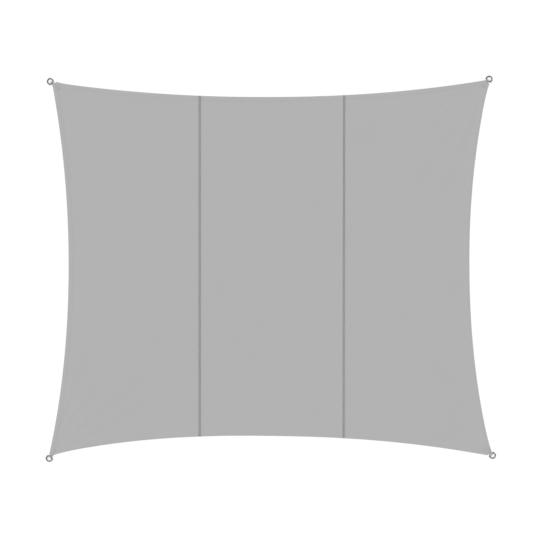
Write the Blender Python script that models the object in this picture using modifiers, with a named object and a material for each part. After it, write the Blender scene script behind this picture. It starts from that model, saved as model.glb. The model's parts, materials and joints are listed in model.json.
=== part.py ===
"""A shade sail of about 3.5 by 3 metres, laid out flat and face up on a floor.

Three panels of plain-woven polyester are lapped at two upright seams. Every edge is cut hollow, so
that it stays taut when the sail is pulled at its corners, and is hemmed under. Each corner is cut
off short and sandwiched in a webbing strap, which is looped round the bar of a D-ring.

X runs along the long side, Y along the short one, Z is up. The origin is on the floor, in the
middle of the outline. Lengths are in metres and angles in degrees.
"""

import math
from collections import namedtuple

import bmesh
import bpy
from mathutils import Vector

GAP = 0.0003  # between pieces that lie against each other
SNAP = 0.0001  # how near a point counts as being on a line

# Cloth
CLOTH = 0.0012  # one layer
HEM = 0.0024  # the cloth where its hem is folded under
HEM_WIDTH = 0.032
HEM_STEP = 0.004  # over which the face comes down from the hem to one layer
LAP = 0.018  # how far the centre panel lies over each side panel
LAP_CLEAR = 0.0015  # the centre panel stays up this far past a side panel's edge
LAP_RISE = 0.0075  # over which it then comes down to the floor

# Webbing straps
STRAP = 0.0016
STRAP_WIDTH = 0.025
STRAP_LEG = 0.055  # the length of each leg that is sewn to the cloth
STRAP_BEND = 0.003  # the upper leg levels out this far before it meets the cloth

# D-rings, measured to the middle of the wire
WIRE = 0.008
RING_WIDTH = 0.044
RING_DEPTH = 0.037
RING_CORNER = 0.006  # radius of the two bends beside the bar
BOW = RING_WIDTH / 2
BAR_TO_CENTRE = RING_DEPTH - BOW

# Heights where a strap holds the cloth and the ring
CORNER_LIFT = STRAP + GAP
LIFT_SPREAD = 0.055  # the cloth stays up this far past the strap
LIFT_FALL = 0.060  # and then comes down to the floor over this length
BAR_HEIGHT = STRAP + GAP + WIRE / 2

# x, y: where the two edges would meet. ring_x, ring_y: the centre of the ring's bow.
# pull: the way the ring is pulled. cut_back: from the ring's centre to the cut end of the cloth.
Corner = namedtuple("Corner", "x y ring_x ring_y pull cut_back")
CORNERS = {
    "bottom_left": Corner(-1.761, -1.480, -1.762, -1.508, 238, 0.030),
    "bottom_right": Corner(1.756, -1.488, 1.762, -1.484, -46, 0.031),
    "top_left": Corner(-1.739, 1.482, -1.754, 1.489, 138, 0.038),
    "top_right": Corner(1.736, 1.503, 1.735, 1.508, 49, 0.029),
}

# sag: how far the middle of the edge lies inside the line between its corners.
# power: 2 is a parabola, and more is flatter in the middle. lean: moves the sag to one end.
# start_flare, end_flare: how far the edge turns out again at each corner.
Edge = namedtuple("Edge", "start end sag power lean start_flare end_flare")
EDGES = {
    "bottom": Edge("bottom_left", "bottom_right", 0.156, 2.3, -0.11, 0.012, 0),
    "top": Edge("top_left", "top_right", -0.128, 2.13, 0.04, 0.012, 0),
    "left": Edge("bottom_left", "top_left", 0.143, 2.08, -0.04, 0, 0),
    "right": Edge("bottom_right", "top_right", -0.168, 2.18, -0.01, 0.012, 0.012),
}
FLARE_REACH = 0.160  # from the corner

# Where each seam's middle line crosses the bottom and the top of the sail
Seam = namedtuple("Seam", "bottom_x top_x")
SEAMS = {
    "left": Seam(-0.564, -0.564),
    "right": Seam(0.577, 0.581),
}
SEAM_TOP = 1.37  # the height at which those two places are given, up and down

# Lines of the cloth's mesh: at these distances beside an edge, and evenly spread between
HEMMED = [0, HEM_WIDTH, HEM_WIDTH + HEM_STEP, 0.070, 0.110, 0.160]
LAPPED_OVER = [0, LAP + LAP_CLEAR, LAP + LAP_CLEAR + LAP_RISE]
LAPPED_UNDER = [0]
ROW_SPANS = 18
SIDE_SPANS = 7
CENTRE_SPANS = 8

# Segments of the round shapes
STRAP_LOOP_STEPS = 10
BOW_STEPS = 15
RING_CORNER_STEPS = 4
WIRE_SIDES = 12

# Colour, roughness and metallic value
FINISHES = {
    "light_grey_polyester": ((0.45, 0.45, 0.45, 1), 0.85, 0),
    "light_grey_webbing": ((0.40, 0.40, 0.40, 1), 0.8, 0),
    "stainless_steel": ((0.42, 0.42, 0.43, 1), 0.35, 1),
}


def mix(a, b, share):
    return a * (1 - share) + b * share


def ramp(value, start, end):
    """0 up to start, 1 from end on, and straight between them."""
    return min(max((value - start) / (end - start), 0), 1)


def heading(angle):
    return Vector((math.cos(math.radians(angle)), math.sin(math.radians(angle)), 0))


def arc(centre_x, centre_y, radius, start, end, steps):
    """Points on an arc, with both of its ends."""
    angles = [math.radians(mix(start, end, i / steps)) for i in range(steps + 1)]
    return [(centre_x + radius * math.cos(a), centre_y + radius * math.sin(a)) for a in angles]


# The outline


def turned_out(away):
    """1 at a corner, and 0 from the flare's reach on."""
    return (1 - ramp(away, 0, FLARE_REACH)) ** 2


def edge_line(edge):
    """An edge as a function: y at x for the top and bottom, x at y for the two sides."""
    start, end = CORNERS[edge.start], CORNERS[edge.end]
    upright = abs(end.y - start.y) > abs(end.x - start.x)
    from_along, from_across = (start.y, start.x) if upright else (start.x, start.y)
    to_along, to_across = (end.y, end.x) if upright else (end.x, end.y)

    def across(along):
        share = (along - from_along) / (to_along - from_along)
        place = 2 * share - 1
        hollow = (1 - abs(place) ** edge.power) * (1 + edge.lean * place)
        flare = edge.start_flare * turned_out(along - from_along)
        flare += edge.end_flare * turned_out(to_along - along)
        straight = mix(from_across, to_across, share)
        return straight + edge.sag * hollow - math.copysign(flare, edge.sag)

    return across


def seam_line(seam, offset):
    """The line beside a seam's middle, as x at y."""
    return lambda y: mix(seam.bottom_x, seam.top_x, (y / SEAM_TOP + 1) / 2) + offset


OUTLINE = {name: edge_line(edge) for name, edge in EDGES.items()}


def to_edge(x, y):
    """How far a point of the cloth is from the nearest hemmed edge."""
    return min(
        OUTLINE["top"](x) - y,
        y - OUTLINE["bottom"](x),
        x - OUTLINE["left"](y),
        OUTLINE["right"](y) - x,
    )


def cloth_thickness(x, y):
    inside = ramp(to_edge(x, y), HEM_WIDTH + SNAP, HEM_WIDTH + HEM_STEP - SNAP)
    return mix(HEM, CLOTH, inside)


# The cloth


def lines(low, high, low_steps, high_steps, spans):
    """Lines from low to high: at set distances beside each, and evenly spread between those."""
    between = [
        lambda t, share=i / spans: mix(low(t) + low_steps[-1], high(t) - high_steps[-1], share)
        for i in range(1, spans)
    ]
    return (
        [lambda t, d=d: low(t) + d for d in low_steps]
        + between
        + [lambda t, d=d: high(t) - d for d in reversed(high_steps)]
    )


def crossing(column, row):
    """Where a line given as x at y crosses one given as y at x."""
    x = column(0)
    for _ in range(12):
        y = row(x)
        x = column(y)
    return x, y


def cut_corner(corner):
    """The middle of the cut that ends the cloth, and the way it faces."""
    out = heading(corner.pull)
    return Vector((corner.ring_x, corner.ring_y, 0)) - out * corner.cut_back, out


def corner_height(x, y):
    """How far a strap's lower leg holds the cloth off the floor."""
    height = 0
    for corner in CORNERS.values():
        cut, out = cut_corner(corner)
        inward = (cut - Vector((x, y, 0))).dot(out)
        held = STRAP_LEG + LIFT_SPREAD
        height = max(height, CORNER_LIFT * (1 - ramp(inward, held, held + LIFT_FALL)))
    return height


def lap_height(x, y):
    """How far a side panel holds the centre panel off the floor."""
    height = 0
    for seam in SEAMS.values():
        off = abs(x - seam_line(seam, 0)(y))
        flat = LAP / 2 + LAP_CLEAR
        share = 1 - ramp(off, flat, flat + LAP_RISE)
        height = max(height, (cloth_thickness(x, y) + GAP) * share)
    return height


def panel(name, columns, height):
    """A panel on a grid of columns and rows, thicker at its hems, with its corners cut."""
    rows = lines(OUTLINE["bottom"], OUTLINE["top"], HEMMED, HEMMED, ROW_SPANS)
    last_column, last_row = len(columns) - 1, len(rows) - 1
    bm = bmesh.new()
    bmesh.ops.create_grid(bm, x_segments=last_column, y_segments=last_row, size=0.5)
    for vert in bm.verts:
        column = round((vert.co.x + 0.5) * last_column)
        row = round((vert.co.y + 0.5) * last_row)
        vert.co.xy = crossing(columns[column], rows[row])
    for corner in CORNERS.values():
        cut, out = cut_corner(corner)
        everything = [*bm.verts, *bm.edges, *bm.faces]
        bmesh.ops.bisect_plane(bm, geom=everything, plane_co=cut, plane_no=out, clear_outer=True)
    thickness = [cloth_thickness(vert.co.x, vert.co.y) for vert in bm.verts]
    for vert in bm.verts:
        vert.co.z = height(vert.co.x, vert.co.y)
    sheet = add_mesh(name, bm, "light_grey_polyester")
    group = sheet.vertex_groups.new(name="thickness")
    for index, thick in enumerate(thickness):
        group.add([index], thick / HEM, "REPLACE")
    solidify = sheet.modifiers.new("thickness", "SOLIDIFY")
    solidify.thickness = HEM
    solidify.offset = 1
    solidify.vertex_group = group.name


def panels():
    left, right = SEAMS["left"], SEAMS["right"]
    right_of, left_of = LAP / 2, -LAP / 2
    columns = lines(OUTLINE["left"], seam_line(left, right_of), HEMMED, LAPPED_UNDER, SIDE_SPANS)
    panel("panel_left", columns, corner_height)
    columns = lines(
        seam_line(left, left_of), seam_line(right, right_of), LAPPED_OVER, LAPPED_OVER, CENTRE_SPANS
    )
    panel("panel_centre", columns, lap_height)
    columns = lines(seam_line(right, left_of), OUTLINE["right"], LAPPED_UNDER, HEMMED, SIDE_SPANS)
    panel("panel_right", columns, corner_height)


# Straps and rings, each in its own frame: x the way the ring is pulled, from the middle of the bar


def bar_place(corner, height):
    centre = Vector((corner.ring_x, corner.ring_y, height))
    return centre - heading(corner.pull) * BAR_TO_CENTRE


def strap_path(neck):
    """The middle of the webbing, as x and z, from the lower leg's end to the upper one's."""
    radius = WIRE / 2 + GAP + STRAP / 2
    upper = CORNER_LIFT + HEM + GAP + STRAP / 2
    bend_x, bend_z = STRAP_BEND - neck, upper - BAR_HEIGHT
    to_bend = math.degrees(math.atan2(bend_z, bend_x)) % 360
    leaves = to_bend - math.degrees(math.acos(radius / math.hypot(bend_x, bend_z)))
    legs_end = -neck - STRAP_LEG
    return [
        (legs_end, STRAP / 2),
        *arc(0, BAR_HEIGHT, radius, -90, leaves, STRAP_LOOP_STEPS),
        (bend_x, upper),
        (legs_end, upper),
    ]


def strap(name, corner):
    bm = bmesh.new()
    path = strap_path(corner.cut_back - BAR_TO_CENTRE)
    verts = [bm.verts.new((x, -STRAP_WIDTH / 2, z)) for x, z in path]
    edges = [bm.edges.new(pair) for pair in zip(verts, verts[1:])]
    swept = bmesh.ops.extrude_edge_only(bm, edges=edges)["geom"]
    far = [item for item in swept if isinstance(item, bmesh.types.BMVert)]
    bmesh.ops.translate(bm, verts=far, vec=(0, STRAP_WIDTH, 0))
    webbing = add_mesh(name, bm, "light_grey_webbing")
    webbing.location = bar_place(corner, 0)
    webbing.rotation_euler.z = math.radians(corner.pull)
    solidify = webbing.modifiers.new("thickness", "SOLIDIFY")
    solidify.thickness = STRAP
    solidify.offset = 0
    solidify.use_even_offset = True


def ring_outline():
    """The middle of the wire: a straight bar, two tight bends and a round bow."""
    inset = BOW - RING_CORNER
    return [
        *arc(RING_CORNER, inset, RING_CORNER, 180, 90, RING_CORNER_STEPS),
        *arc(BAR_TO_CENTRE, 0, BOW, 90, -90, BOW_STEPS),
        *arc(RING_CORNER, -inset, RING_CORNER, 270, 180, RING_CORNER_STEPS),
    ]


def ring(name, corner):
    curve = bpy.data.curves.new(name, "CURVE")
    curve.dimensions = "3D"
    curve.bevel_depth = WIRE / 2
    curve.bevel_resolution = WIRE_SIDES // 2 - 2
    points = ring_outline()
    spline = curve.splines.new("POLY")
    spline.points.add(len(points) - 1)
    spline.use_cyclic_u = True
    for point, (x, y) in zip(spline.points, points):
        point.co = (x, y, 0, 1)
        point.tilt = math.pi / WIRE_SIDES  # turns a flat of the wire, not an edge, to the eye
    curve.materials.append(bpy.data.materials["stainless_steel"])
    wire = bpy.data.objects.new(name, curve)
    collection().objects.link(wire)
    wire.location = bar_place(corner, BAR_HEIGHT)
    droop = math.asin((BAR_HEIGHT - WIRE / 2) / RING_DEPTH)  # the bow rests on the floor
    wire.rotation_euler = (0, droop, math.radians(corner.pull))


# The scene


def clear_scene():
    for found in list(bpy.data.objects):
        bpy.data.objects.remove(found, do_unlink=True)


def collection():
    name = "shade_sail"
    if name not in bpy.data.collections:
        bpy.context.scene.collection.children.link(bpy.data.collections.new(name))
    return bpy.data.collections[name]


def add_materials():
    for name, (colour, roughness, metallic) in FINISHES.items():
        material = bpy.data.materials.new(name)
        material.use_nodes = True
        surface = material.node_tree.nodes["Principled BSDF"].inputs
        surface["Base Color"].default_value = colour
        surface["Roughness"].default_value = roughness
        surface["Metallic"].default_value = metallic
        material.diffuse_color = colour


def add_mesh(name, bm, finish):
    mesh = bpy.data.meshes.new(name)
    bm.to_mesh(mesh)
    bm.free()
    mesh.materials.append(bpy.data.materials[finish])
    made = bpy.data.objects.new(name, mesh)
    collection().objects.link(made)
    return made


def main():
    clear_scene()
    add_materials()
    panels()
    for place, corner in CORNERS.items():
        strap(f"tab_{place}", corner)
        ring(f"ring_{place}", corner)


main()
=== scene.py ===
# A shade sail of about 3.5 by 3 metres, laid out flat and face up: its looks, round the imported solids.
# X runs along the long side, Y along the short one, Z is up. Lengths are in metres, angles in degrees.

import json
import math

import bmesh
import bpy
import numpy as np
from mathutils import Euler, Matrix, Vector

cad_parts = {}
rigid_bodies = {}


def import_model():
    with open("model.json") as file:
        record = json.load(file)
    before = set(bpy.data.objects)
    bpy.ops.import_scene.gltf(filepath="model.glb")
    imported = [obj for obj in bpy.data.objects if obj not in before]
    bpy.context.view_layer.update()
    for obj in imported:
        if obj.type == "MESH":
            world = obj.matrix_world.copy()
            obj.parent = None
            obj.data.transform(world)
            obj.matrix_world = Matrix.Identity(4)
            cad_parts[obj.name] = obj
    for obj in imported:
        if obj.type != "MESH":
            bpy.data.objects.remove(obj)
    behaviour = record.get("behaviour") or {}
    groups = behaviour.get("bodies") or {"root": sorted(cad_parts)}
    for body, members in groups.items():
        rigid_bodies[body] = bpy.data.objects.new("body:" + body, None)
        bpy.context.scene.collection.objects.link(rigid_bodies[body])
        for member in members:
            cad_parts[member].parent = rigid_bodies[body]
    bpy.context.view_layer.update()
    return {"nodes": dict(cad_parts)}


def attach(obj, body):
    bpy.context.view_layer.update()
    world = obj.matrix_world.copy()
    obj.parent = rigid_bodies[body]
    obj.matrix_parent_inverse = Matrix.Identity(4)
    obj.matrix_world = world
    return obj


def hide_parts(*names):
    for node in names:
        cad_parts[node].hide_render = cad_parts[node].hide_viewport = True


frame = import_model()
print("frame loaded:", len(frame["nodes"]), "nodes")


# The outline, as the solids have it

# x, y: where two edges would meet; ringX, ringY: the centre of the ring's bow
# pull: the way the ring is pulled; cutBack: from the ring's centre to the cut end of the cloth
corners = {
    "bottom_left": dict(x=-1.761, y=-1.480, ringX=-1.762, ringY=-1.508, pull=238, cutBack=0.030),
    "bottom_right": dict(x=1.756, y=-1.488, ringX=1.762, ringY=-1.484, pull=-46, cutBack=0.031),
    "top_left": dict(x=-1.739, y=1.482, ringX=-1.754, ringY=1.489, pull=138, cutBack=0.038),
    "top_right": dict(x=1.736, y=1.503, ringX=1.735, ringY=1.508, pull=49, cutBack=0.029),
}
# sag: how far the middle lies inside the corners' line; power: 2 is a parabola; lean: moves the sag along
# flares: how far the edge turns out again at its start and its end
edges = {
    "bottom": dict(
        start="bottom_left", end="bottom_right", sag=0.156, power=2.3, lean=-0.11, flares=(0.012, 0)
    ),
    "top": dict(start="top_left", end="top_right", sag=-0.128, power=2.13, lean=0.04, flares=(0.012, 0)),
    "left": dict(start="bottom_left", end="top_left", sag=0.143, power=2.08, lean=-0.04, flares=(0, 0)),
    "right": dict(
        start="bottom_right", end="top_right", sag=-0.168, power=2.18, lean=-0.01, flares=(0.012, 0.012)
    ),
}
flareReach = 0.16  # from the corner
seams = {"left": dict(bottomX=-0.564, topX=-0.564), "right": dict(bottomX=0.577, topX=0.581)}
seamReach = 1.37  # the height at which a seam's two places are given, up and down

millimetre = 0.001


def mix(a, b, share):
    return a * (1 - share) + b * share


def soft(value, start, end):  # 0 up to start, 1 from end on, and an s-curve between them
    share = np.clip((value - start) / (end - start), 0, 1)
    return share * share * (3 - 2 * share)


def hump(value, centre, width):
    return np.exp(-(((value - centre) / width) ** 2))


def wave(phase):  # between 0 and 1
    return 0.5 + 0.5 * np.sin(phase)


def heading(angle):
    return np.array([math.cos(math.radians(angle)), math.sin(math.radians(angle))])


def turnedOut(away):  # 1 at a corner, 0 from the flare's reach on
    return (1 - np.clip(away / flareReach, 0, 1)) ** 2


def edgeLine(edge):  # y at x for the top and the bottom, x at y for the two sides
    start, end = corners[edge["start"]], corners[edge["end"]]
    upright = abs(end["y"] - start["y"]) > abs(end["x"] - start["x"])
    along, across = ("y", "x") if upright else ("x", "y")
    startFlare, endFlare = edge["flares"]

    def line(place):
        share = (place - start[along]) / (end[along] - start[along])
        where = 2 * share - 1
        hollow = (1 - np.abs(where) ** edge["power"]) * (1 + edge["lean"] * where)
        flare = startFlare * turnedOut(place - start[along]) + endFlare * turnedOut(end[along] - place)
        return mix(start[across], end[across], share) + edge["sag"] * hollow - np.copysign(flare, edge["sag"])

    return line


outline = {name: edgeLine(edge) for name, edge in edges.items()}


def seamX(name, y):
    seam = seams[name]
    return mix(seam["bottomX"], seam["topX"], (y / seamReach + 1) / 2)


def edgeDistances(x, y):  # how far inside each edge
    return {
        "top": outline["top"](x) - y,
        "bottom": y - outline["bottom"](x),
        "left": x - outline["left"](y),
        "right": outline["right"](y) - x,
    }


def toEdge(x, y):  # how far inside the nearest hemmed edge
    return np.minimum.reduce(list(edgeDistances(x, y).values()))


def cutPlace(corner):  # the middle of the cut that ends the cloth
    return np.array([corner["ringX"], corner["ringY"]]) - heading(corner["pull"]) * corner["cutBack"]


def toCut(x, y, corner):  # how far inside a corner's cut
    cut, out = cutPlace(corner), heading(corner["pull"])
    return (cut[0] - x) * out[0] + (cut[1] - y) * out[1]


def toAnyCut(x, y):
    return np.minimum.reduce([toCut(x, y, corner) for corner in corners.values()])


def offSeam(x, y):  # to the nearest seam's middle line
    return np.minimum(np.abs(x - seamX("left", y)), np.abs(x - seamX("right", y)))


# The cloth's shape

cloth = {
    "layer": 0.0011,  # one thickness
    "hem": 0.0024,  # with its hem folded under
    "hemWidth": 0.032,
    "hemShoulder": 0.0015,  # the face starts to come down this far before the hem's inner edge
    "hemFall": 0.008,  # and is down this far past it
    "hemStep": 0.0004,  # over which the folded layer ends underneath
    "hemRows": (0.005, 0.0275),  # the two rows of stitches, from the fold
    "hemRowWidth": 0.0016,
    "hemDip": 0.0002,  # how far a row draws the cloth in
    "hemPuff": 0.00018,  # how far the hem swells between its rows
    "lapHalf": 0.009,  # the centre panel lies over each side panel this far past the seam's middle
    "lapGap": 0.0003,
    "lapClear": 0.0008,  # it stays up this far past the side panel's edge
    "lapFall": 0.009,  # and then comes down over this length
    "seamRow": 0.0043,  # the two rows of stitches, from the seam's middle
    "seamRowWidth": 0.0028,
    "seamDip": 0.00016,
    "cornerLift": 0.0019,  # how far a strap's lower leg holds the cloth up
    "liftHeld": 0.11,  # it stays up this far from the cut
    "liftFall": 0.06,  # and then comes down over this length
    "span": 0.014,  # the mesh's even spacing
    "cutReach": 0.15,  # a corner's cuts are made within this distance
    "lapShade": (-0.0004, 0.0012),  # where the painted shade over a lapped seam starts to fade and is gone, past the centre panel's edge
    "foldWear": 0.0016,  # how far a fold's wear reaches
}
ripples = {
    "fan": 0.0016,  # tension waves that spread from the corners
    "fanReach": 0.42,
    "fanCount": 25,
    "fanTurn": 1.9,  # from one corner's waves to the next one's
    "fanWander": (0.9, 2.7),  # wander: how far waves stray from even ones, and how often
    "fanCrowding": (0.35, 11),
    "swell": 0.0013,  # long low waves
    "swellAcross": 5.1,
    "swellWander": (1.3, 2.2),
    "swellAlong": (-1.7, 4.3, 0.6),  # x, y and where they start
    "pucker": 0.0005,  # beside sewn rows
    "puckerStep": 0.061,
    "puckerReach": 0.05,
    "seamWander": (2.1, 3.3),
    "seamSlant": 9,
    "hemPace": 0.93,  # of the seams' puckers
    "hemWander": (1.8, 4.1),
    "hemSlant": 12,
    "calm": (0.07, 0.17),  # the distances from a cut at which the waves start and are full
}
# The mesh's lines beside each kind of border, in millimetres from it
hemLines = [0, 0.12, 0.4, 0.8, 1.25, 2.2, 3.6, 5, 6.4, 8.5, 12, 16, 20, 24, 26, 27.5, 29]
hemLines += [30.6, 31.6, 32, 32.4, 33.2, 34.8, 36.8, 39, 42, 47, 54, 63]
underLines = [0, 0.1, 0.3, 0.6, 1.6, 4, 8, 15]
overLines = [0, 0.1, 0.3, 0.6, 1.5, 3, 4.5, 6, 9, 12, 13.5, 15, 17, 18.6, 20, 21.6, 23.2, 25, 27.5, 31, 37]
cutLines = hemLines[:7]


def held(x, y):  # 1 where a strap holds the cloth flat, 0 away from it
    near = [1 - soft(toCut(x, y, corner), *ripples["calm"]) for corner in corners.values()]
    return np.maximum.reduce(near)


def wander(along, size, pace, start=0):
    return size * np.sin(pace * along + start)


def fans(x, y):
    height = 0
    for turn, corner in enumerate(corners.values()):
        dx, dy = np.abs(x - corner["x"]), np.abs(y - corner["y"])
        away, angle = np.hypot(dx, dy), np.arctan2(dy, dx)
        reach = away / ripples["fanReach"]
        phase = ripples["fanCount"] * angle + ripples["fanTurn"] * turn
        phase = phase + wander(away, *ripples["fanWander"], turn)
        phase = phase + wander(angle, *ripples["fanCrowding"], 2 * turn)
        height = height + wave(phase) * reach * np.exp(1 - reach)
    return ripples["fan"] * height


def puckers(x, y):
    turns = 2 * math.pi / ripples["puckerStep"]
    away = offSeam(x, y)
    phase = turns * y + wander(y, *ripples["seamWander"]) + ripples["seamSlant"] * away
    height = hump(away, 0, ripples["puckerReach"]) * wave(phase)
    for name, inside in edgeDistances(x, y).items():
        run = x if name in ("top", "bottom") else y
        phase = ripples["hemPace"] * turns * run + ripples["hemSlant"] * inside
        phase = phase + wander(run, *ripples["hemWander"])
        height = height + hump(inside, cloth["hemWidth"], ripples["puckerReach"]) * wave(phase)
    return ripples["pucker"] * height


def ripple(x, y):
    alongX, alongY, start = ripples["swellAlong"]
    across = wave(ripples["swellAcross"] * x + wander(y, *ripples["swellWander"]))
    swell = ripples["swell"] * across * wave(alongX * x + alongY * y + start)
    return (fans(x, y) + puckers(x, y) + swell) * (1 - held(x, y))


def cornerLift(x, y):
    start, end = cloth["liftHeld"], cloth["liftHeld"] + cloth["liftFall"]
    return cloth["cornerLift"] * (1 - soft(toAnyCut(x, y), start, end))


def layers(x, y):  # the face and the underside of a panel, above whatever it lies on
    inside, width = toEdge(x, y), cloth["hemWidth"]
    fallen = soft(inside, width - cloth["hemShoulder"], width + cloth["hemFall"])
    face = mix(cloth["hem"], cloth["layer"], fallen)
    first, second = cloth["hemRows"]
    between = np.clip((inside - first) / (second - first), 0, 1)
    face = face + cloth["hemPuff"] * np.sin(math.pi * between)
    for row in (first, second):
        face = face - cloth["hemDip"] * hump(inside, row, cloth["hemRowWidth"])
    pastHem = np.clip((inside - width) / cloth["hemStep"] + 0.5, 0, 1)
    return face, pastHem * (face - cloth["layer"])


def sideHeights(x, y):
    face, under = layers(x, y)
    base = cornerLift(x, y) + ripple(x, y)
    return base + face, base + under


def centreHeights(x, y):
    face, under = layers(x, y)
    away = offSeam(x, y)
    flat = cloth["lapHalf"] + cloth["lapClear"]
    base = ripple(x, y) + (face + cloth["lapGap"]) * (1 - soft(away, flat, flat + cloth["lapFall"]))
    drawn = cloth["seamDip"] * hump(away, cloth["seamRow"], cloth["seamRowWidth"])
    return base + face - drawn, base + under


def onCentre(x, y, past):  # whether a place is between the seams, or this far past them
    return (x > seamX("left", y) - past) & (x < seamX("right", y) + past)


def clothTop(x, y):  # the highest cloth at a place
    return np.where(onCentre(x, y, cloth["lapHalf"]), centreHeights(x, y)[0], sideHeights(x, y)[0])


def clothUnder(x, y):  # the lowest cloth at a place
    return np.where(onCentre(x, y, -cloth["lapHalf"]), centreHeights(x, y)[1], sideHeights(x, y)[1])


def meshLines(lowLines, highLines, width):  # each line as its share of the way across, and an offset
    low = [(0, step * millimetre) for step in lowLines]
    high = [(1, -step * millimetre) for step in reversed(highLines)]
    count = round((width - low[-1][1] + high[0][1]) / cloth["span"])
    even = [(i / count, mix(low[-1][1], high[0][1], i / count)) for i in range(1, count)]
    return np.array(low + even + high).T


def crossings(leftLine, rightLine, columns, rows):  # where the upright lines cross the level ones
    columnShare, columnOffset = columns[:, :, None]
    rowShare, rowOffset = rows[:, None, :]
    x = np.zeros((columns.shape[1], rows.shape[1]))
    for _ in range(12):  # each turn brings x and y closer to where they cross
        y = mix(outline["bottom"](x), outline["top"](x), rowShare) + rowOffset
        x = mix(leftLine(y), rightLine(y), columnShare) + columnOffset
    return x, y


def gridMesh(name, x, y):
    wide, high = x.shape
    number = np.arange(wide * high).reshape(wide, high)
    quads = np.stack([number[:-1, :-1], number[1:, :-1], number[1:, 1:], number[:-1, 1:]], axis=-1)
    places = np.column_stack([x.ravel(), y.ravel(), np.zeros(x.size)])
    mesh = bpy.data.meshes.new(name)
    mesh.from_pydata(places.tolist(), [], quads.reshape(-1, 4).tolist())
    bm = bmesh.new()
    bm.from_mesh(mesh)
    bpy.data.meshes.remove(mesh)
    return bm


def cutCorners(bm):  # the outermost line of each ends the cloth, and the others round its end
    for corner in corners.values():
        cut, out = cutPlace(corner), heading(corner["pull"])
        for back in cutLines:
            place = Vector((*(cut - out * back * millimetre), 0))
            near = [vert for vert in bm.verts if (vert.co - place).length < cloth["cutReach"]]
            # Not sets, because their order changes from run to run
            faces = dict.fromkeys(face for vert in near for face in vert.link_faces)
            parts = dict.fromkeys(part for face in faces for part in (*face.verts, *face.edges, face))
            way = (*out, 0)
            bmesh.ops.bisect_plane(bm, geom=list(parts), plane_co=place, plane_no=way, clear_outer=back == 0)


def link(name, mesh):
    made = bpy.data.objects.new(name, mesh)
    bpy.context.scene.collection.objects.link(made)
    return made


def foldedShell(name, bm, heights, borders):  # a face and an underside that meet in a rounded fold
    bm.verts.index_update()
    flat = np.array([vert.co[:2] for vert in bm.verts])
    rim = np.array([vert.is_boundary for vert in bm.verts])
    outer = [[vert.index for vert in face.verts] for face in bm.faces]
    bm.free()
    x, y = flat.T
    face, under = heights(x, y)
    middle, radius = (face + under) / 2, (face - under) / 2
    nearest = np.minimum.reduce([border(x, y) for border in borders])
    rounded = radius * np.sqrt(1 - (1 - np.clip(nearest / radius, 0, 1)) ** 2)
    rounded[rim] = 0
    above = np.column_stack([x, y, middle + rounded])
    below = np.column_stack([x, y, middle - rounded])[~rim]
    number = np.arange(len(flat))
    number[~rim] = len(flat) + np.arange(len(below))
    inner = [[int(number[index]) for index in reversed(quad)] for quad in outer]
    mesh = bpy.data.meshes.new(name)
    mesh.from_pydata(np.vstack([above, below]).tolist(), [], outer + inner)
    mesh.shade_smooth()
    shaded = {
        # The first of these is painted shade: 1 over each lapped seam, fading out just past the centre
        # panel's edge.
        "paintedShadeMask": 1 - soft(offSeam(x, y) - cloth["lapHalf"], *cloth["lapShade"]),
        "fold": np.exp(-np.maximum(nearest, 0) / cloth["foldWear"]),
    }
    for label, values in shaded.items():
        everywhere = np.concatenate([values, values[~rim]]).astype(np.float32)
        mesh.attributes.new(label, "FLOAT", "POINT").data.foreach_set("value", everywhere)
    return link(name, mesh)


def panel(name, leftLine, rightLine, leftLines, rightLines, heights, borders):
    columns = meshLines(leftLines, rightLines, rightLine(0.0) - leftLine(0.0))
    rows = meshLines(hemLines, hemLines, outline["top"](0.0) - outline["bottom"](0.0))
    bm = gridMesh(name, *crossings(leftLine, rightLine, columns, rows))
    cutCorners(bm)
    made = foldedShell(name, bm, heights, borders)
    print(f"{name}: {len(made.data.polygons)} faces")
    return made


def beside(name, offset):  # a line beside a seam's middle, as x at y
    return lambda y: seamX(name, y) + offset


def sheetPanels():
    half = cloth["lapHalf"]
    leftEnd, rightEnd = beside("left", half), beside("right", -half)
    overLeft, overRight = beside("left", -half), beside("right", half)
    leftBorders = [toEdge, toAnyCut, lambda x, y: leftEnd(y) - x]
    centreBorders = [toEdge, lambda x, y: x - overLeft(y), lambda x, y: overRight(y) - x]
    rightBorders = [toEdge, toAnyCut, lambda x, y: x - rightEnd(y)]
    left = ("clothLeft", outline["left"], leftEnd, hemLines, underLines, sideHeights, leftBorders)
    centre = ("clothCentre", overLeft, overRight, overLines, overLines, centreHeights, centreBorders)
    right = ("clothRight", rightEnd, outline["right"], underLines, hemLines, sideHeights, rightBorders)
    return {"panel_left": panel(*left), "panel_centre": panel(*centre), "panel_right": panel(*right)}


# Node helpers


def feed(tree, node, inputs):  # each input is another node's socket or a plain value
    for name, value in inputs.items():
        if isinstance(value, bpy.types.NodeSocket):
            tree.links.new(value, node.inputs[name])
        else:
            node.inputs[name].default_value = value


def addNode(tree, kind, inputs=None, **settings):  # gives the node's outputs
    made = tree.nodes.new(kind)
    for name, value in settings.items():
        setattr(made, name, value)
    feed(tree, made, inputs or {})
    return made.outputs


def treeOf(*values):  # the tree of the sockets among them
    return next(value.id_data for value in values if isinstance(value, bpy.types.NodeSocket))


def maths(operation, *values):
    return addNode(treeOf(*values), "ShaderNodeMath", dict(enumerate(values)), operation=operation)[0]


def times(product, *factors):
    for factor in factors:
        product = maths("MULTIPLY", product, factor)
    return product


def minus(value, taken):
    return maths("SUBTRACT", value, taken)


def over(value, divisor):
    return maths("DIVIDE", value, divisor)


def vectors(operation, *values):
    made = addNode(treeOf(*values), "ShaderNodeVectorMath", dict(enumerate(values)), operation=operation)
    return made["Value" if operation == "LENGTH" else "Vector"]


def scaled(vector, factor):
    inputs = {"Vector": vector, "Scale": factor}
    return addNode(treeOf(vector, factor), "ShaderNodeVectorMath", inputs, operation="SCALE")["Vector"]


def combined(x, y, z):
    return addNode(treeOf(x, y, z), "ShaderNodeCombineXYZ", {"X": x, "Y": y, "Z": z})[0]


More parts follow.
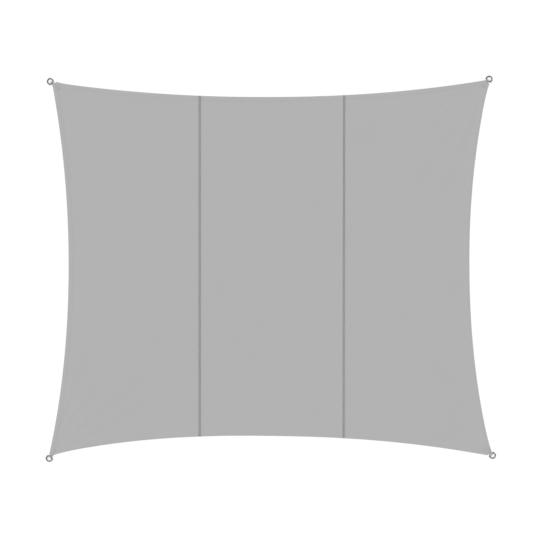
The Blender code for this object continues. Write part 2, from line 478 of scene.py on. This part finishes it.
# What Geometry Nodes make: stitches along a row, and ribbed webbing along a path


def newTree(name, sizes, counts):
    tree = bpy.data.node_groups.new(name, "GeometryNodeTree")
    kinds = {"Path": "Geometry", "Finish": "Material"}
    kinds |= dict.fromkeys(sizes, "Float") | dict.fromkeys(counts, "Int")
    for label, kind in kinds.items():
        tree.interface.new_socket(label, in_out="INPUT", socket_type="NodeSocket" + kind)
    tree.interface.new_socket("Made", in_out="OUTPUT", socket_type="NodeSocketGeometry")
    return tree, addNode(tree, "NodeGroupInput")


def endTree(tree, geometry, finish):
    realized = addNode(tree, "GeometryNodeRealizeInstances", {"Geometry": geometry})[0]
    smooth = addNode(tree, "GeometryNodeSetShadeSmooth", {"Geometry": realized})[0]
    painted = addNode(tree, "GeometryNodeSetMaterial", {"Geometry": smooth, "Material": finish})[0]
    addNode(tree, "NodeGroupOutput", {"Made": painted})


def captured(tree, geometry, label, value, kind="FLOAT", domain="POINT"):
    made = tree.nodes.new("GeometryNodeCaptureAttribute")
    made.domain = domain
    made.capture_items.new(kind, label)
    feed(tree, made, {"Geometry": geometry, label: value})
    return made.outputs["Geometry"], made.outputs[label]


grain = {
    "rings": 4,
    "middle": 0.2,  # the rings farther than this from its middle are made fuller
    "fuller": 0.28,
    "height": 0.85,  # of its width
}


def stitchShape(tree, sides):  # a rounded grain, one long and one thick, that lies along X
    inputs = {"Segments": sides, "Rings": grain["rings"], "Radius": 0.5}
    ball = addNode(tree, "GeometryNodeMeshUVSphere", inputs)["Mesh"]
    place = addNode(tree, "GeometryNodeInputPosition")[0]
    parts = addNode(tree, "ShaderNodeSeparateXYZ", {0: place})
    offMiddle = maths("GREATER_THAN", maths("ABSOLUTE", parts["Z"]), grain["middle"])
    fuller = maths("MULTIPLY_ADD", offMiddle, grain["fuller"], 1.0)
    turned = combined(parts["Z"], times(parts["X"], fuller), times(parts["Y"], fuller))
    return addNode(tree, "GeometryNodeSetPosition", {"Geometry": ball, "Position": turned})[0]


def zigzagged(tree, curve, width):  # every other point moves to each side
    tangent = addNode(tree, "GeometryNodeInputTangent")[0]
    side = vectors("CROSS_PRODUCT", tangent, (0, 0, 1))
    index = addNode(tree, "GeometryNodeInputIndex")[0]
    way = minus(maths("MODULO", index, 2.0), 0.5)
    offset = scaled(side, times(way, width))
    return addNode(tree, "GeometryNodeSetPosition", {"Geometry": curve, "Offset": offset})[0]


def aligned(tree, axis, pivot, vector, rotation=(0, 0, 0)):
    inputs = {"Rotation": rotation, "Vector": vector}
    return addNode(tree, "FunctionNodeAlignRotationToVector", inputs, axis=axis, pivot_axis=pivot)[0]


def stitchTree():
    sizes = ["Step", "Zigzag", "Thread", "Cover", "Slant", "Stray"]
    tree, given = newTree("stitchRow", sizes, ["Sides", "Seed"])
    row = addNode(tree, "GeometryNodeMeshToCurve", {"Mesh": given["Path"]})[0]
    inputs = {"Curve": row, "Length": given["Step"]}
    stepped = addNode(tree, "GeometryNodeResampleCurve", inputs, mode="LENGTH")[0]
    moved = zigzagged(tree, stepped, given["Zigzag"])
    line = addNode(tree, "GeometryNodeCurveToMesh", {"Curve": moved})[0]
    ends = addNode(tree, "GeometryNodeInputMeshEdgeVertices")
    run = vectors("SUBTRACT", ends["Position 2"], ends["Position 1"])
    line, run = captured(tree, line, "run", run, "VECTOR", "EDGE")
    points = addNode(tree, "GeometryNodeMeshToPoints", {"Mesh": line}, mode="EDGES")[0]
    turn = aligned(tree, "X", "AUTO", run)
    turn = aligned(tree, "Z", "X", (0, 0, 1), turn)
    inputs = {2: times(given["Stray"], -1.0), 3: given["Stray"], "Seed": given["Seed"]}
    stray = addNode(tree, "FunctionNodeRandomValue", inputs, data_type="FLOAT")[1]
    angle = maths("ADD", given["Slant"], stray)
    slant = addNode(tree, "FunctionNodeAxisAngleToRotation", {"Angle": angle})[0]
    inputs = {"Rotation": turn, "Rotate By": slant}
    turn = addNode(tree, "FunctionNodeRotateRotation", inputs, rotation_space="LOCAL")[0]
    length = times(vectors("LENGTH", run), given["Cover"])
    size = combined(length, given["Thread"], times(given["Thread"], grain["height"]))
    inputs = {"Points": points, "Instance": stitchShape(tree, given["Sides"])}
    inputs |= {"Rotation": turn, "Scale": size}
    stitches = addNode(tree, "GeometryNodeInstanceOnPoints", inputs)[0]
    endTree(tree, stitches, given["Finish"])
    return tree


def ribbedProfile(tree, given):  # a flat closed outline: across on X, through the webbing on Y
    inputs = {"Resolution": given["Points"]}
    circle = addNode(tree, "GeometryNodeCurvePrimitiveCircle", inputs)[0]
    index = addNode(tree, "GeometryNodeInputIndex")[0]
    turn = over(maths("ADD", index, 0.5), over(given["Points"], 2.0))
    back = maths("ABSOLUTE", minus(turn, 1.0))
    across = times(given["Width"], minus(0.5, back))
    face = maths("MULTIPLY_ADD", maths("LESS_THAN", turn, 1.0), -2.0, 1.0)
    half = times(given["Thickness"], 0.5)
    level = minus(times(given["Width"], 0.5), half)
    overEnd = over(maths("MAXIMUM", minus(maths("ABSOLUTE", across), level), 0.0), half)
    rounded = maths("SQRT", minus(1.0, times(overEnd, overEnd)))
    phase = over(times(across, math.pi), over(given["Width"], given["Ribs"]))
    groove = minus(1.0, maths("ABSOLUTE", maths("COSINE", phase)))
    thick = minus(half, times(groove, given["Rib Depth"]))
    through = times(face, times(thick, rounded))
    inputs = {"Geometry": circle, "Position": combined(across, through, 0.0)}
    shaped = addNode(tree, "GeometryNodeSetPosition", inputs)[0]
    place = addNode(tree, "GeometryNodeInputPosition")[0]
    parts = addNode(tree, "ShaderNodeSeparateXYZ", {0: place})
    return captured(tree, shaped, "across", parts["X"])


def named(tree, geometry, label, value):
    inputs = {"Geometry": geometry, "Name": label, "Value": value}
    return addNode(tree, "GeometryNodeStoreNamedAttribute", inputs)[0]


def webbingTree():
    sizes = ["Width", "Thickness", "Rib Depth", "End Round", "End Narrowing", "Across X", "Across Y"]
    tree, given = newTree("ribbedWebbing", sizes, ["Ribs", "Points"])
    path = addNode(tree, "GeometryNodeMeshToCurve", {"Mesh": given["Path"]})[0]
    inputs = {"Curve": path, "Normal": combined(given["Across X"], given["Across Y"], 0.0)}
    path = addNode(tree, "GeometryNodeSetCurveNormal", inputs, mode="FREE")[0]
    along = addNode(tree, "GeometryNodeSplineParameter")
    left = minus(1.0, along["Factor"])
    total = over(along["Length"], maths("MAXIMUM", along["Factor"], 0.001))  # never over 0
    toEnd = maths("MINIMUM", along["Length"], times(left, total))
    share = maths("MINIMUM", over(toEnd, given["End Round"]), 1.0)
    full = minus(1.0, times(given["End Narrowing"], minus(1.0, maths("SQRT", share))))
    path, size = captured(tree, path, "size", full)
    path, length = captured(tree, path, "length", along["Length"])
    profile, across = ribbedProfile(tree, given)
    inputs = {"Curve": path, "Profile Curve": profile, "Scale": size, "Fill Caps": True}
    woven = addNode(tree, "GeometryNodeCurveToMesh", inputs)[0]
    woven = named(tree, woven, "across", across)
    woven = named(tree, woven, "along", length)
    endTree(tree, woven, given["Finish"])
    return tree


def pathObject(name, paths):  # one chain of edges for each path
    places, joins = [], []
    for path in paths:
        joins += [(len(places) + i, len(places) + i + 1) for i in range(len(path) - 1)]
        places += [tuple(map(float, place)) for place in path]
    mesh = bpy.data.meshes.new(name)
    mesh.from_pydata(places, joins, [])
    return link(name, mesh)


def grown(name, tree, paths, sizes, finish):  # runs a tree on some paths and keeps the plain mesh
    made = pathObject(name, paths)
    modifier = made.modifiers.new(tree.name, "NODES")
    modifier.node_group = tree
    values = {**sizes, "Finish": finish}
    for socket in tree.interface.items_tree:
        if socket.in_out == "INPUT" and socket.name in values:
            modifier[socket.identifier] = values[socket.name]
    evaluated = made.evaluated_get(bpy.context.evaluated_depsgraph_get())
    mesh = bpy.data.meshes.new_from_object(evaluated)
    made.modifiers.clear()
    rows, made.data = made.data, mesh
    bpy.data.meshes.remove(rows)
    mesh.name = name
    print(f"{name}: {len(mesh.polygons)} faces")
    return made


# The straps, each in its own frame: x the way the ring is pulled, from the middle of its bar

webbing = {
    "Width": 0.025,
    "Thickness": 0.0015,
    "Rib Depth": 0.00016,
    "Ribs": 11,
    "Points": 100,  # round the webbing
    "End Round": 0.0014,  # the length over which a cut end narrows
    "End Narrowing": 0.09,  # by this share
}
strap = {
    "leg": 0.055,  # the length of each leg sewn to the cloth
    "legPlaces": 40,  # its height is read at this many places along it
    "acrossPlaces": 11,
    "smoothing": 9,  # and is a mean over this many
    "floorGap": 0.0003,
    "clothGap": 0.0002,
    "barGap": 0.00025,
    "overCut": 0.001,  # the upper leg lies flat from this far inside the cut
    "step": 0.0024,
    "loopSteps": 26,
    "leaves": 150,  # where the webbing leaves its turn round the bar
    "lowerRise": (-0.012, -0.002),  # between which the lower leg comes up to the bar
    # x and z where the legs are sewn together behind the bar, for a short neck and for a long one
    "shortPinch": (-0.0090, 0.0036),
    "longPinch": (-0.0112, 0.0029),
    "necks": (0.015, 0.025),
    "pinchFlat": 0.0042,
    "leavesBy": 0.009,  # how far the bend down keeps the way it leaves the bar
    "landsBy": 0.006,  # and the way it reaches the pinch
    "downSteps": 12,
    "upSteps": 8,
    "boxWidth": 0.0185,
    "boxFromCut": 0.006,
    "boxFromEnd": 0.0045,
    "boxSteps": 24,
    "tackWidth": 0.021,
    "tackSteps": 12,
    "threadLift": 0.00002,  # of a thread's middle, above the webbing
}


def neckLength(corner):  # from the middle of the bar to the cut end of the cloth
    return corner["cutBack"] - ring["barToCentre"]


def placed(corner, places):  # rows of x, y, z in a corner's own frame, in the sail's frame
    along = heading(corner["pull"])
    across = np.array([-along[1], along[0]])
    bar = np.array([corner["ringX"], corner["ringY"]]) - along * ring["barToCentre"]
    flat = bar + places[:, :1] * along + places[:, 1:2] * across
    return np.column_stack([flat, places[:, 2]])


def bent(start, startWay, end, endWay, steps):  # a smooth bend between two points, as x and z
    t = np.linspace(0, 1, steps + 1)[1:-1, None]
    start, startWay, end, endWay = map(np.array, (start, startWay, end, endWay))
    low, high = 2 * t**3 - 3 * t**2 + 1, -2 * t**3 + 3 * t**2
    return low * start + high * end + (t**3 - 2 * t**2 + t) * startWay + (t**3 - t**2) * endWay


def legHeights(corner):  # the middle of the upper leg, as z at x, lying on the cloth
    start, end = -neckLength(corner) - strap["overCut"], -neckLength(corner) - strap["leg"]
    x = np.linspace(start, end, strap["legPlaces"])
    tops = []
    for across in np.linspace(-0.5, 0.5, strap["acrossPlaces"]) * webbing["Width"]:
        places = placed(corner, np.column_stack([x, np.full_like(x, across), np.zeros_like(x)]))
        tops.append(clothTop(places[:, 0], places[:, 1]))
    highest = np.maximum.reduce(tops)
    count = strap["smoothing"]
    padded = np.pad(highest, count // 2, mode="edge")
    smoothed = np.convolve(padded, np.full(count, 1 / count), mode="valid")
    z = np.maximum(smoothed, highest) + strap["clothGap"] + webbing["Thickness"] / 2
    return lambda place: np.interp(-place, -x, z)


def pinch(corner):  # where the two legs are sewn together behind the bar, as x and z
    shortest, longest = strap["necks"]
    share = np.clip((neckLength(corner) - shortest) / (longest - shortest), 0, 1)
    return mix(np.array(strap["shortPinch"]), np.array(strap["longPinch"]), share)


def strapPath(corner):
    half, neck = webbing["Thickness"] / 2, neckLength(corner)
    end = -neck - strap["leg"]
    radius = ring["wire"] / 2 + strap["barGap"] + half
    low, lowest = strap["floorGap"] + half, ring["barHeight"] - radius
    x = np.linspace(end, -0.001, round(-end / strap["step"]))  # to just before the turn
    lower = np.column_stack([x, mix(low, lowest, soft(x, *strap["lowerRise"]))])
    angles = np.radians(np.linspace(-90, strap["leaves"], strap["loopSteps"] + 1))
    loop = np.column_stack([np.cos(angles), np.sin(angles)]) * radius + (0, ring["barHeight"])
    leaving = np.array([-math.sin(angles[-1]), math.cos(angles[-1])])
    pinchX, pinchZ = pinch(corner)
    flat = strap["pinchFlat"] / 2
    upperZ = legHeights(corner)
    startX = -neck - strap["overCut"]
    fore, back = (pinchX + flat, pinchZ), (pinchX - flat, pinchZ)
    down = bent(loop[-1], leaving * strap["leavesBy"], fore, (-strap["landsBy"], 0), strap["downSteps"])
    rise = startX - pinchX + flat
    up = bent(back, (rise, 0), (startX, upperZ(startX)), (rise, 0), strap["upSteps"])
    tack = np.array([fore, (pinchX, pinchZ), back])
    x = np.linspace(startX, end, round(strap["leg"] / strap["step"]))
    upper = np.column_stack([x, upperZ(x)])
    path = np.vstack([lower, loop, down, tack, up, upper])
    return np.column_stack([path[:, 0], np.zeros(len(path)), path[:, 1]])


def sewnBox(corner, heights):  # a box with a cross in it
    near = -neckLength(corner) - strap["boxFromCut"]
    far = -neckLength(corner) - strap["leg"] + strap["boxFromEnd"]
    half = strap["boxWidth"] / 2
    ends = [(near, -half), (near, half), (far, half), (far, -half)]
    sides = [(ends[i], ends[(i + 1) % 4]) for i in range(4)] + [(ends[0], ends[2]), (ends[1], ends[3])]
    lines = []
    for start, end in sides:
        share = np.linspace(0, 1, strap["boxSteps"])[:, None]
        flat = mix(np.array(start), np.array(end), share)
        lines.append(placed(corner, np.column_stack([flat, heights(flat[:, 0])])))
    return lines


def tackRow(corner, height):
    across = np.linspace(-0.5, 0.5, strap["tackSteps"]) * strap["tackWidth"]
    x = np.full_like(across, pinch(corner)[0])
    return placed(corner, np.column_stack([x, across, np.full_like(across, height)]))


def strapSewing(corner):  # the box as it shows on the upper leg, and under the lower one
    upperZ = legHeights(corner)
    upper = sewnBox(corner, lambda x: upperZ(x) + webbing["Thickness"] / 2 + strap["threadLift"])
    lower = sewnBox(corner, lambda x: np.full_like(x, strap["floorGap"] + strap["threadLift"]))
    return upper + lower


# The rings

ring = {
    "wire": 0.008,
    "width": 0.044,
    "depth": 0.037,
    "corner": 0.006,
    "bowSteps": 72,
    "cornerSteps": 12,
    "barSteps": 14,
    "sides": 20,
    "weldAt": 62,  # on the bow, from the way the ring is pulled
    "weldSpread": 7,
    "weldSwell": 0.07,
}
ring["bow"] = ring["width"] / 2
ring["barToCentre"] = ring["depth"] - ring["bow"]
ring["barHeight"] = 0.0059  # as the solids have it, on the strap's lower leg


def arcPoints(centreX, centreY, radius, start, end, steps):
    angles = np.radians(np.linspace(start, end, steps + 1))
    return np.column_stack([centreX + radius * np.cos(angles), centreY + radius * np.sin(angles)])


def ringObject(name, corner, finish):  # a straight bar, two tight bends and a round bow, with a butt weld
    bow, bend = ring["bow"], ring["corner"]
    inset = bow - bend
    across = np.linspace(-inset, inset, ring["barSteps"] + 1)[1:-1]
    bar = np.column_stack([np.zeros_like(across), across])
    start = arcPoints(bend, inset, bend, 180, 90, ring["cornerSteps"])
    middle = arcPoints(ring["barToCentre"], 0, bow, 90, -90, ring["bowSteps"])[1:-1]
    end = arcPoints(bend, -inset, bend, 270, 180, ring["cornerSteps"])
    points = np.vstack([start, middle, end, bar])
    weldPlace = heading(ring["weldAt"]) * bow + (ring["barToCentre"], 0)
    toWeld = np.hypot(*(points - weldPlace).T)
    spread = bow * math.radians(ring["weldSpread"])
    curve = bpy.data.curves.new(name, "CURVE")
    curve.dimensions = "3D"
    curve.bevel_depth = ring["wire"] / 2
    curve.bevel_resolution = ring["sides"] // 2 - 2
    spline = curve.splines.new("POLY")
    spline.points.add(len(points) - 1)
    spline.use_cyclic_u = True
    spline.use_smooth = True
    for point, (x, y), swell in zip(spline.points, points, hump(toWeld, 0, spread)):
        point.co = (x, y, 0, 1)
        point.radius = 1 + ring["weldSwell"] * swell
    wire = link(name + "Curve", curve)
    mesh = bpy.data.meshes.new_from_object(wire.evaluated_get(bpy.context.evaluated_depsgraph_get()))
    bpy.data.objects.remove(wire)
    bpy.data.curves.remove(curve)
    droop = math.asin((ring["barHeight"] - ring["wire"] / 2) / ring["depth"])  # the bow rests on the floor
    turn = Euler((0, droop, math.radians(corner["pull"]))).to_matrix().to_4x4()
    turn.translation = placed(corner, np.array([[0, 0, ring["barHeight"]]]))[0]
    mesh.transform(turn)
    mesh.name = name
    mesh.materials.clear()
    mesh.materials.append(finish)
    mesh.shade_smooth()
    print(f"{name}: {len(mesh.polygons)} faces")
    return link(name, mesh)


# Rows of stitches on the cloth

# Thread: how thick; Cover: a stitch's length as a share of the way from hole to hole
# Slant: how far each is turned, in radians; Stray: how much that varies
zigzag = dict(Slant=0.0, Sides=5)
straight = dict(Zigzag=0.0, Thread=0.00072, Stray=0.03)
seamStitches = zigzag | dict(Step=0.0024, Zigzag=0.0058, Thread=0.00095, Cover=1.06, Stray=0.02, Seed=3)
hemStitches = straight | dict(Step=0.005, Cover=0.84, Slant=0.09, Sides=4, Seed=5)
boxStitches = straight | dict(Step=0.0028, Cover=0.86, Slant=0.07, Sides=5, Seed=7)
tackStitches = zigzag | dict(Step=0.00062, Zigzag=0.0034, Thread=0.00075, Cover=1.05, Stray=0.03, Seed=9)
stitching = {
    "step": 0.0015,  # between the points that a row follows
    "drop": 0.0015,  # the least height that parts a row
    "face": 0.00006,  # the thread's middle, above the cloth's face
    "underside": 0.00012,  # and above its underside
    "hemRun": 1.8,  # rows are laid out this far each way, and kept where they meet the cloth
    "seamRun": 1.45,
    "fromCut": 0.003,
    "fromEdge": 0.002,
    "past": 0.0005,  # how far a row goes on past one that it meets
    "strapEnd": 0.001,  # how far the rows stay clear of a strap's end
    "strapSide": 0.0008,  # and of its sides
}


def underStrap(x, y):
    covered = np.zeros(np.shape(x), bool)
    for corner in corners.values():
        back = toCut(x, y, corner)
        cut, out = cutPlace(corner), heading(corner["pull"])
        side = np.abs((x - cut[0]) * -out[1] + (y - cut[1]) * out[0])
        nearLeg = back < strap["leg"] + stitching["strapEnd"]
        covered |= nearLeg & (side < webbing["Width"] / 2 + stitching["strapSide"])
    return covered


def sewnRuns(x, y, kept):  # on both sides of the cloth, parted where a panel ends on another
    runs = []
    for surface, above in ((clothTop, stitching["face"]), (clothUnder, stitching["underside"])):
        places = np.column_stack([x, y, surface(x, y) + above])
        drop = np.abs(np.diff(places[:, 2], prepend=places[0, 2]))
        whole = kept & (drop < stitching["drop"])
        breaks = np.flatnonzero(np.diff(np.concatenate([[0], whole, [0]]).astype(int)))
        runs += [places[start:end] for start, end in zip(breaks[::2], breaks[1::2]) if end - start > 1]
    return runs


def hemRows(name):
    inward = 1 if name in ("bottom", "left") else -1
    along = np.arange(-stitching["hemRun"], stitching["hemRun"], stitching["step"])
    runs = []
    for inside in cloth["hemRows"]:
        line = outline[name](along) + inward * inside
        x, y = (along, line) if name in ("top", "bottom") else (line, along)
        others = [far for other, far in edgeDistances(x, y).items() if other != name]
        kept = np.minimum.reduce(others) > inside - stitching["past"]
        runs += sewnRuns(x, y, kept & (toAnyCut(x, y) > stitching["fromCut"]) & ~underStrap(x, y))
    return runs


def seamRows(name):
    y = np.arange(-stitching["seamRun"], stitching["seamRun"], stitching["step"])
    runs = []
    for offset in (-cloth["seamRow"], cloth["seamRow"]):
        x = seamX(name, y) + offset
        runs += sewnRuns(x, y, toEdge(x, y) > stitching["fromEdge"])
    return runs


# Finishes

clothFinish = {
    "colour": (0.374, 0.374, 0.374),
    "yarn": 0.0006,  # between two yarns
    "yarnWobble": 0.00008,
    "wobbleScale": 90.0,
    "relief": 0.00013,
    "reliefStrength": 0.7,
    "weaveContrast": 0.08,
    "slubs": 0.022,  # thicker and thinner yarns
    "slubScales": ((700.0, 6.0, 1.0), (5.0, 700.0, 1.0)),  # of the warp and of the weft
    "mottle": 0.016,
    "mottleScale": 3.2,
    "fuzzScale": 1400.0,
    "fuzzRelief": 0.25,
    # painted shade: how much darker the band over a lapped seam is made
    "lapShade": 0.14,
    "foldWear": 0.06,
    "roughness": (0.78, 0.9),
    "shader": {"Sheen Weight": 0.06, "Sheen Roughness": 0.45, "Specular IOR Level": 0.3},
}
webbingFinish = {
    "colour": (0.37, 0.37, 0.37),
    "pick": 0.0013,
    "lean": 1.1,  # how far a pick runs along the webbing for one length across
    "ribYarns": 4,
    "contrast": 0.2,
    "mottle": 0.06,
    "mottleScale": 160.0,
    "relief": 0.00018,
    "reliefStrength": 0.7,
    "yarnRelief": 0.3,
    "fuzzScale": 1800.0,
    "roughness": (0.62, 0.82),
    "shader": {"Sheen Weight": 0.1, "Sheen Roughness": 0.4, "Specular IOR Level": 0.4},
}
threadFinish = {
    "twist": 0.0054,  # the wave texture's scale is 1 over this
    "bands": {"Detail": 1.0, "Distortion": 3.0},
    "contrast": 0.25,
    "mottle": 0.08,
    "mottleScale": 45.0,
    "relief": 0.00008,
    "reliefStrength": 0.6,
    "roughness": (0.42, 0.6),
    "shader": {"Sheen Weight": 0.08, "Sheen Roughness": 0.35},
}
seamThread = threadFinish | {"colour": (0.066, 0.066, 0.068)}
matchingThread = threadFinish | {"colour": (0.4, 0.4, 0.4)}
steelFinish = {
    "colour": (0.13, 0.13, 0.133),
    "cloud": 0.12,
    "cloudScale": 130.0,
    "cloudShare": 0.6,  # of the roughness; the scratches' share is the rest
    "scratchScale": 2600.0,
    "scratchStretch": (1.0, 1.0, 9.0),
    "relief": 0.00003,
    "reliefStrength": 0.35,
    "roughness": (0.22, 0.36),
    "shader": {"Metallic": 1.0},
}


def noise(place, scale, detail=2.0, roughness=0.5, output="Fac"):
    inputs = {"Vector": place, "Scale": scale, "Detail": detail, "Roughness": roughness}
    return addNode(place.id_data, "ShaderNodeTexNoise", inputs)[output]


def around(value, reach):  # turns 0 to 1 into a factor that is within reach of 1
    return maths("MULTIPLY_ADD", value, 2 * reach, 1 - reach)


def attribute(place, label):
    return addNode(place.id_data, "ShaderNodeAttribute", attribute_name=label)["Fac"]


def ranged(value, low, high, start=0.0, end=1.0):
    inputs = {"Value": value, "From Min": start, "From Max": end, "To Min": low, "To Max": high}
    return addNode(value.id_data, "ShaderNodeMapRange", inputs)[0]


def striped(place, step):  # rises and falls once a step, between 0 and 1
    return maths("MULTIPLY_ADD", maths("SINE", times(place, 2 * math.pi / step)), 0.5, 0.5)


def plainWeave(place, yarn):  # the height of yarns that pass over and under each other, 0 to 1
    parts = addNode(place.id_data, "ShaderNodeSeparateXYZ", {0: place})
    across = maths("SINE", times(parts["X"], math.pi / yarn))
    along = maths("SINE", times(parts["Y"], math.pi / yarn))
    both = times(across, along)
    warp = maths("ADD", maths("ABSOLUTE", across), both)
    weft = minus(maths("ABSOLUTE", along), both)
    return times(maths("MAXIMUM", warp, weft), 0.5)


# Each of these patterns gives a factor for the colour, the dullness and the height


def polyester(place, finish):
    drift = noise(place, finish["wobbleScale"], 1.0, output="Color")
    drift = vectors("SUBTRACT", drift, (0.5, 0.5, 0.5))
    wobbled = vectors("ADD", place, scaled(drift, finish["yarnWobble"] * 2))
    weave = plainWeave(wobbled, finish["yarn"])
    factors = [around(weave, finish["weaveContrast"])]
    for scales in finish["slubScales"]:
        streaks = noise(vectors("MULTIPLY", place, scales), 1.0, 1.0)
        factors.append(around(streaks, finish["slubs"]))
    factors.append(around(noise(place, finish["mottleScale"], 4.0, 0.6), finish["mottle"]))
    # painted shade: darker over each lapped seam, standing for the light that two layers let through less and
    # the shade at the centre panel's edge
    factors.append(maths("MULTIPLY_ADD", attribute(place, "paintedShadeMask"), -finish["lapShade"], 1.0))
    factors.append(maths("MULTIPLY_ADD", attribute(place, "fold"), finish["foldWear"], 1.0))
    fuzz = noise(place, finish["fuzzScale"])
    return times(*factors), fuzz, maths("MULTIPLY_ADD", fuzz, finish["fuzzRelief"], weave)


def herringbone(place, finish):
    across, along = attribute(place, "across"), attribute(place, "along")
    rib = webbing["Width"] / webbing["Ribs"]
    slanted = maths("PINGPONG", across, rib)  # the picks lean one way on a rib and back on the next
    picks = striped(maths("MULTIPLY_ADD", slanted, finish["lean"], along), finish["pick"])
    yarns = striped(across, rib / finish["ribYarns"])
    mottle = around(noise(place, finish["mottleScale"], 3.0), finish["mottle"])
    contrast = finish["contrast"]
    factor = times(around(picks, contrast / 2), around(yarns, contrast / 4), mottle)
    height = maths("MULTIPLY_ADD", yarns, finish["yarnRelief"], picks)
    return factor, noise(place, finish["fuzzScale"]), height


def twistedThread(place, finish):
    inputs = {"Vector": place, "Scale": 1 / finish["twist"], **finish["bands"]}
    twist = addNode(place.id_data, "ShaderNodeTexWave", inputs, bands_direction="DIAGONAL")["Fac"]
    mottle = around(noise(place, finish["mottleScale"]), finish["mottle"])
    return times(around(twist, finish["contrast"] / 2), mottle), twist, twist


def satinSteel(place, finish):
    cloudy = noise(place, finish["cloudScale"], 3.0, 0.6)
    fine = noise(vectors("MULTIPLY", place, finish["scratchStretch"]), finish["scratchScale"])
    share = finish["cloudShare"]
    return around(cloudy, finish["cloud"]), maths("ADD", times(cloudy, share), times(fine, 1 - share)), fine


def newMaterial(name, pattern, finish):
    material = bpy.data.materials.new(name)
    material.use_nodes = True
    tree = material.node_tree
    factor, dullness, height = pattern(addNode(tree, "ShaderNodeTexCoord")["Object"], finish)
    relief = {"Height": height, "Distance": finish["relief"], "Strength": finish["reliefStrength"]}
    inputs = {
        "Base Color": scaled(finish["colour"], factor),
        "Roughness": ranged(dullness, *finish["roughness"]),
        "Normal": addNode(tree, "ShaderNodeBump", relief)["Normal"],
    }
    feed(tree, tree.nodes["Principled BSDF"], inputs | finish["shader"])
    return material


# The studio

studio = {
    "sky": 0.83,  # the pale surroundings, brightest overhead
    "horizon": 0.7,
    "haze": 1.05,  # along the horizon, where the floor runs into the sky
    "hazeTop": (0.08, 0.24),  # the heights at which it starts to fade and is gone, of a sky 1 high
    "sun": 1.5,
    "sunFrom": (-38, -35),  # tilt and turn
    "sunWidth": 16,
    "floorShader": {"Base Color": (0.9, 0.9, 0.9, 1), "Roughness": 0.9, "Specular IOR Level": 0.2},
    "floorSize": 240,
    "floorDrop": 0.0006,
}
camera = {
    "x": 0.0533,
    "y": -0.0700,
    "height": 12.0,
    "view": 4.412,  # what the picture's width takes in on the floor
    "sensor": 36.0,
    "farthest": 400,
}


def addCamera():
    data = bpy.data.cameras.new("camera")
    data.sensor_width = camera["sensor"]
    data.lens = camera["sensor"] * camera["height"] / camera["view"]
    data.clip_end = camera["farthest"]
    eye = link("camera", data)
    eye.location = (camera["x"], camera["y"], camera["height"])
    bpy.context.scene.camera = eye


def addFloor():
    half = studio["floorSize"] / 2
    mesh = bpy.data.meshes.new("floor")
    ends = [(-half, -half), (half, -half), (half, half), (-half, half)]
    mesh.from_pydata([(x, y, -studio["floorDrop"]) for x, y in ends], [], [(0, 1, 2, 3)])
    floor = link("floor", mesh)
    material = bpy.data.materials.new("paleFloor")
    material.use_nodes = True
    feed(material.node_tree, material.node_tree.nodes["Principled BSDF"], studio["floorShader"])
    mesh.materials.append(material)


def addLight():
    world = bpy.data.worlds.new("studio")
    bpy.context.scene.world = world
    world.use_nodes = True
    tree = world.node_tree
    way = addNode(tree, "ShaderNodeTexCoord")["Generated"]
    up = addNode(tree, "ShaderNodeSeparateXYZ", {0: way})["Z"]
    haze = ranged(up, studio["haze"], 0.0, *studio["hazeTop"])
    strength = maths("MAXIMUM", ranged(up, studio["horizon"], studio["sky"]), haze)
    tree.links.new(strength, tree.nodes["Background"].inputs["Strength"])
    tree.nodes["Background"].inputs["Color"].default_value = (1, 1, 1, 1)
    sun = bpy.data.lights.new("softSun", "SUN")
    sun.energy = studio["sun"]
    sun.angle = math.radians(studio["sunWidth"])
    tilt, turn = studio["sunFrom"]
    link("softSun", sun).rotation_euler = (0, math.radians(tilt), math.radians(turn))
    view = bpy.context.scene.view_settings
    view.view_transform, view.look = "Standard", "None"


# Everything together

for thing in list(bpy.data.objects):
    if thing.type in ("CAMERA", "LIGHT"):
        bpy.data.objects.remove(thing)
addCamera()
addFloor()
addLight()
print("studio ready")

finishes = {
    "cloth": newMaterial("lightGreyPolyester", polyester, clothFinish),
    "webbing": newMaterial("lightGreyWebbing", herringbone, webbingFinish),
    "seamThread": newMaterial("darkGreyThread", twistedThread, seamThread),
    "matchingThread": newMaterial("lightGreyThread", twistedThread, matchingThread),
    "steel": newMaterial("satinStainlessSteel", satinSteel, steelFinish),
}
stitchRow, ribbedWebbing = stitchTree(), webbingTree()

panels = sheetPanels()
for node, piece in panels.items():
    piece.data.materials.append(finishes["cloth"])
    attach(piece, "root")
    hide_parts(node)


def sewn(name, paths, sizes, finish):
    made = grown(name, stitchRow, paths, sizes, finishes[finish])
    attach(made, "root")
    return made


seamSewing = {
    name: sewn(f"seamStitches_{name}", seamRows(name), seamStitches, "seamThread") for name in seams
}
hemSewing = {
    name: sewn(f"hemStitches_{name}", hemRows(name), hemStitches, "matchingThread") for name in edges
}

for place, corner in corners.items():
    alongX, alongY = heading(corner["pull"])
    sizes = {**webbing, "Across X": -alongY, "Across Y": alongX}
    path = placed(corner, strapPath(corner))
    looped = grown(f"strap_{place}", ribbedWebbing, [path], sizes, finishes["webbing"])
    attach(looped, "root")
    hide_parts(f"tab_{place}")
    box = sewn(f"boxStitches_{place}", strapSewing(corner), boxStitches, "matchingThread")
    pinchZ = pinch(corner)[1]
    tacks = [tackRow(corner, pinchZ + webbing["Thickness"] / 2), tackRow(corner, strap["floorGap"])]
    tack = sewn(f"tackStitches_{place}", tacks, tackStitches, "seamThread")
    bow = ringObject(f"wireRing_{place}", corner, finishes["steel"])
    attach(bow, "root")
    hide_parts(f"ring_{place}")
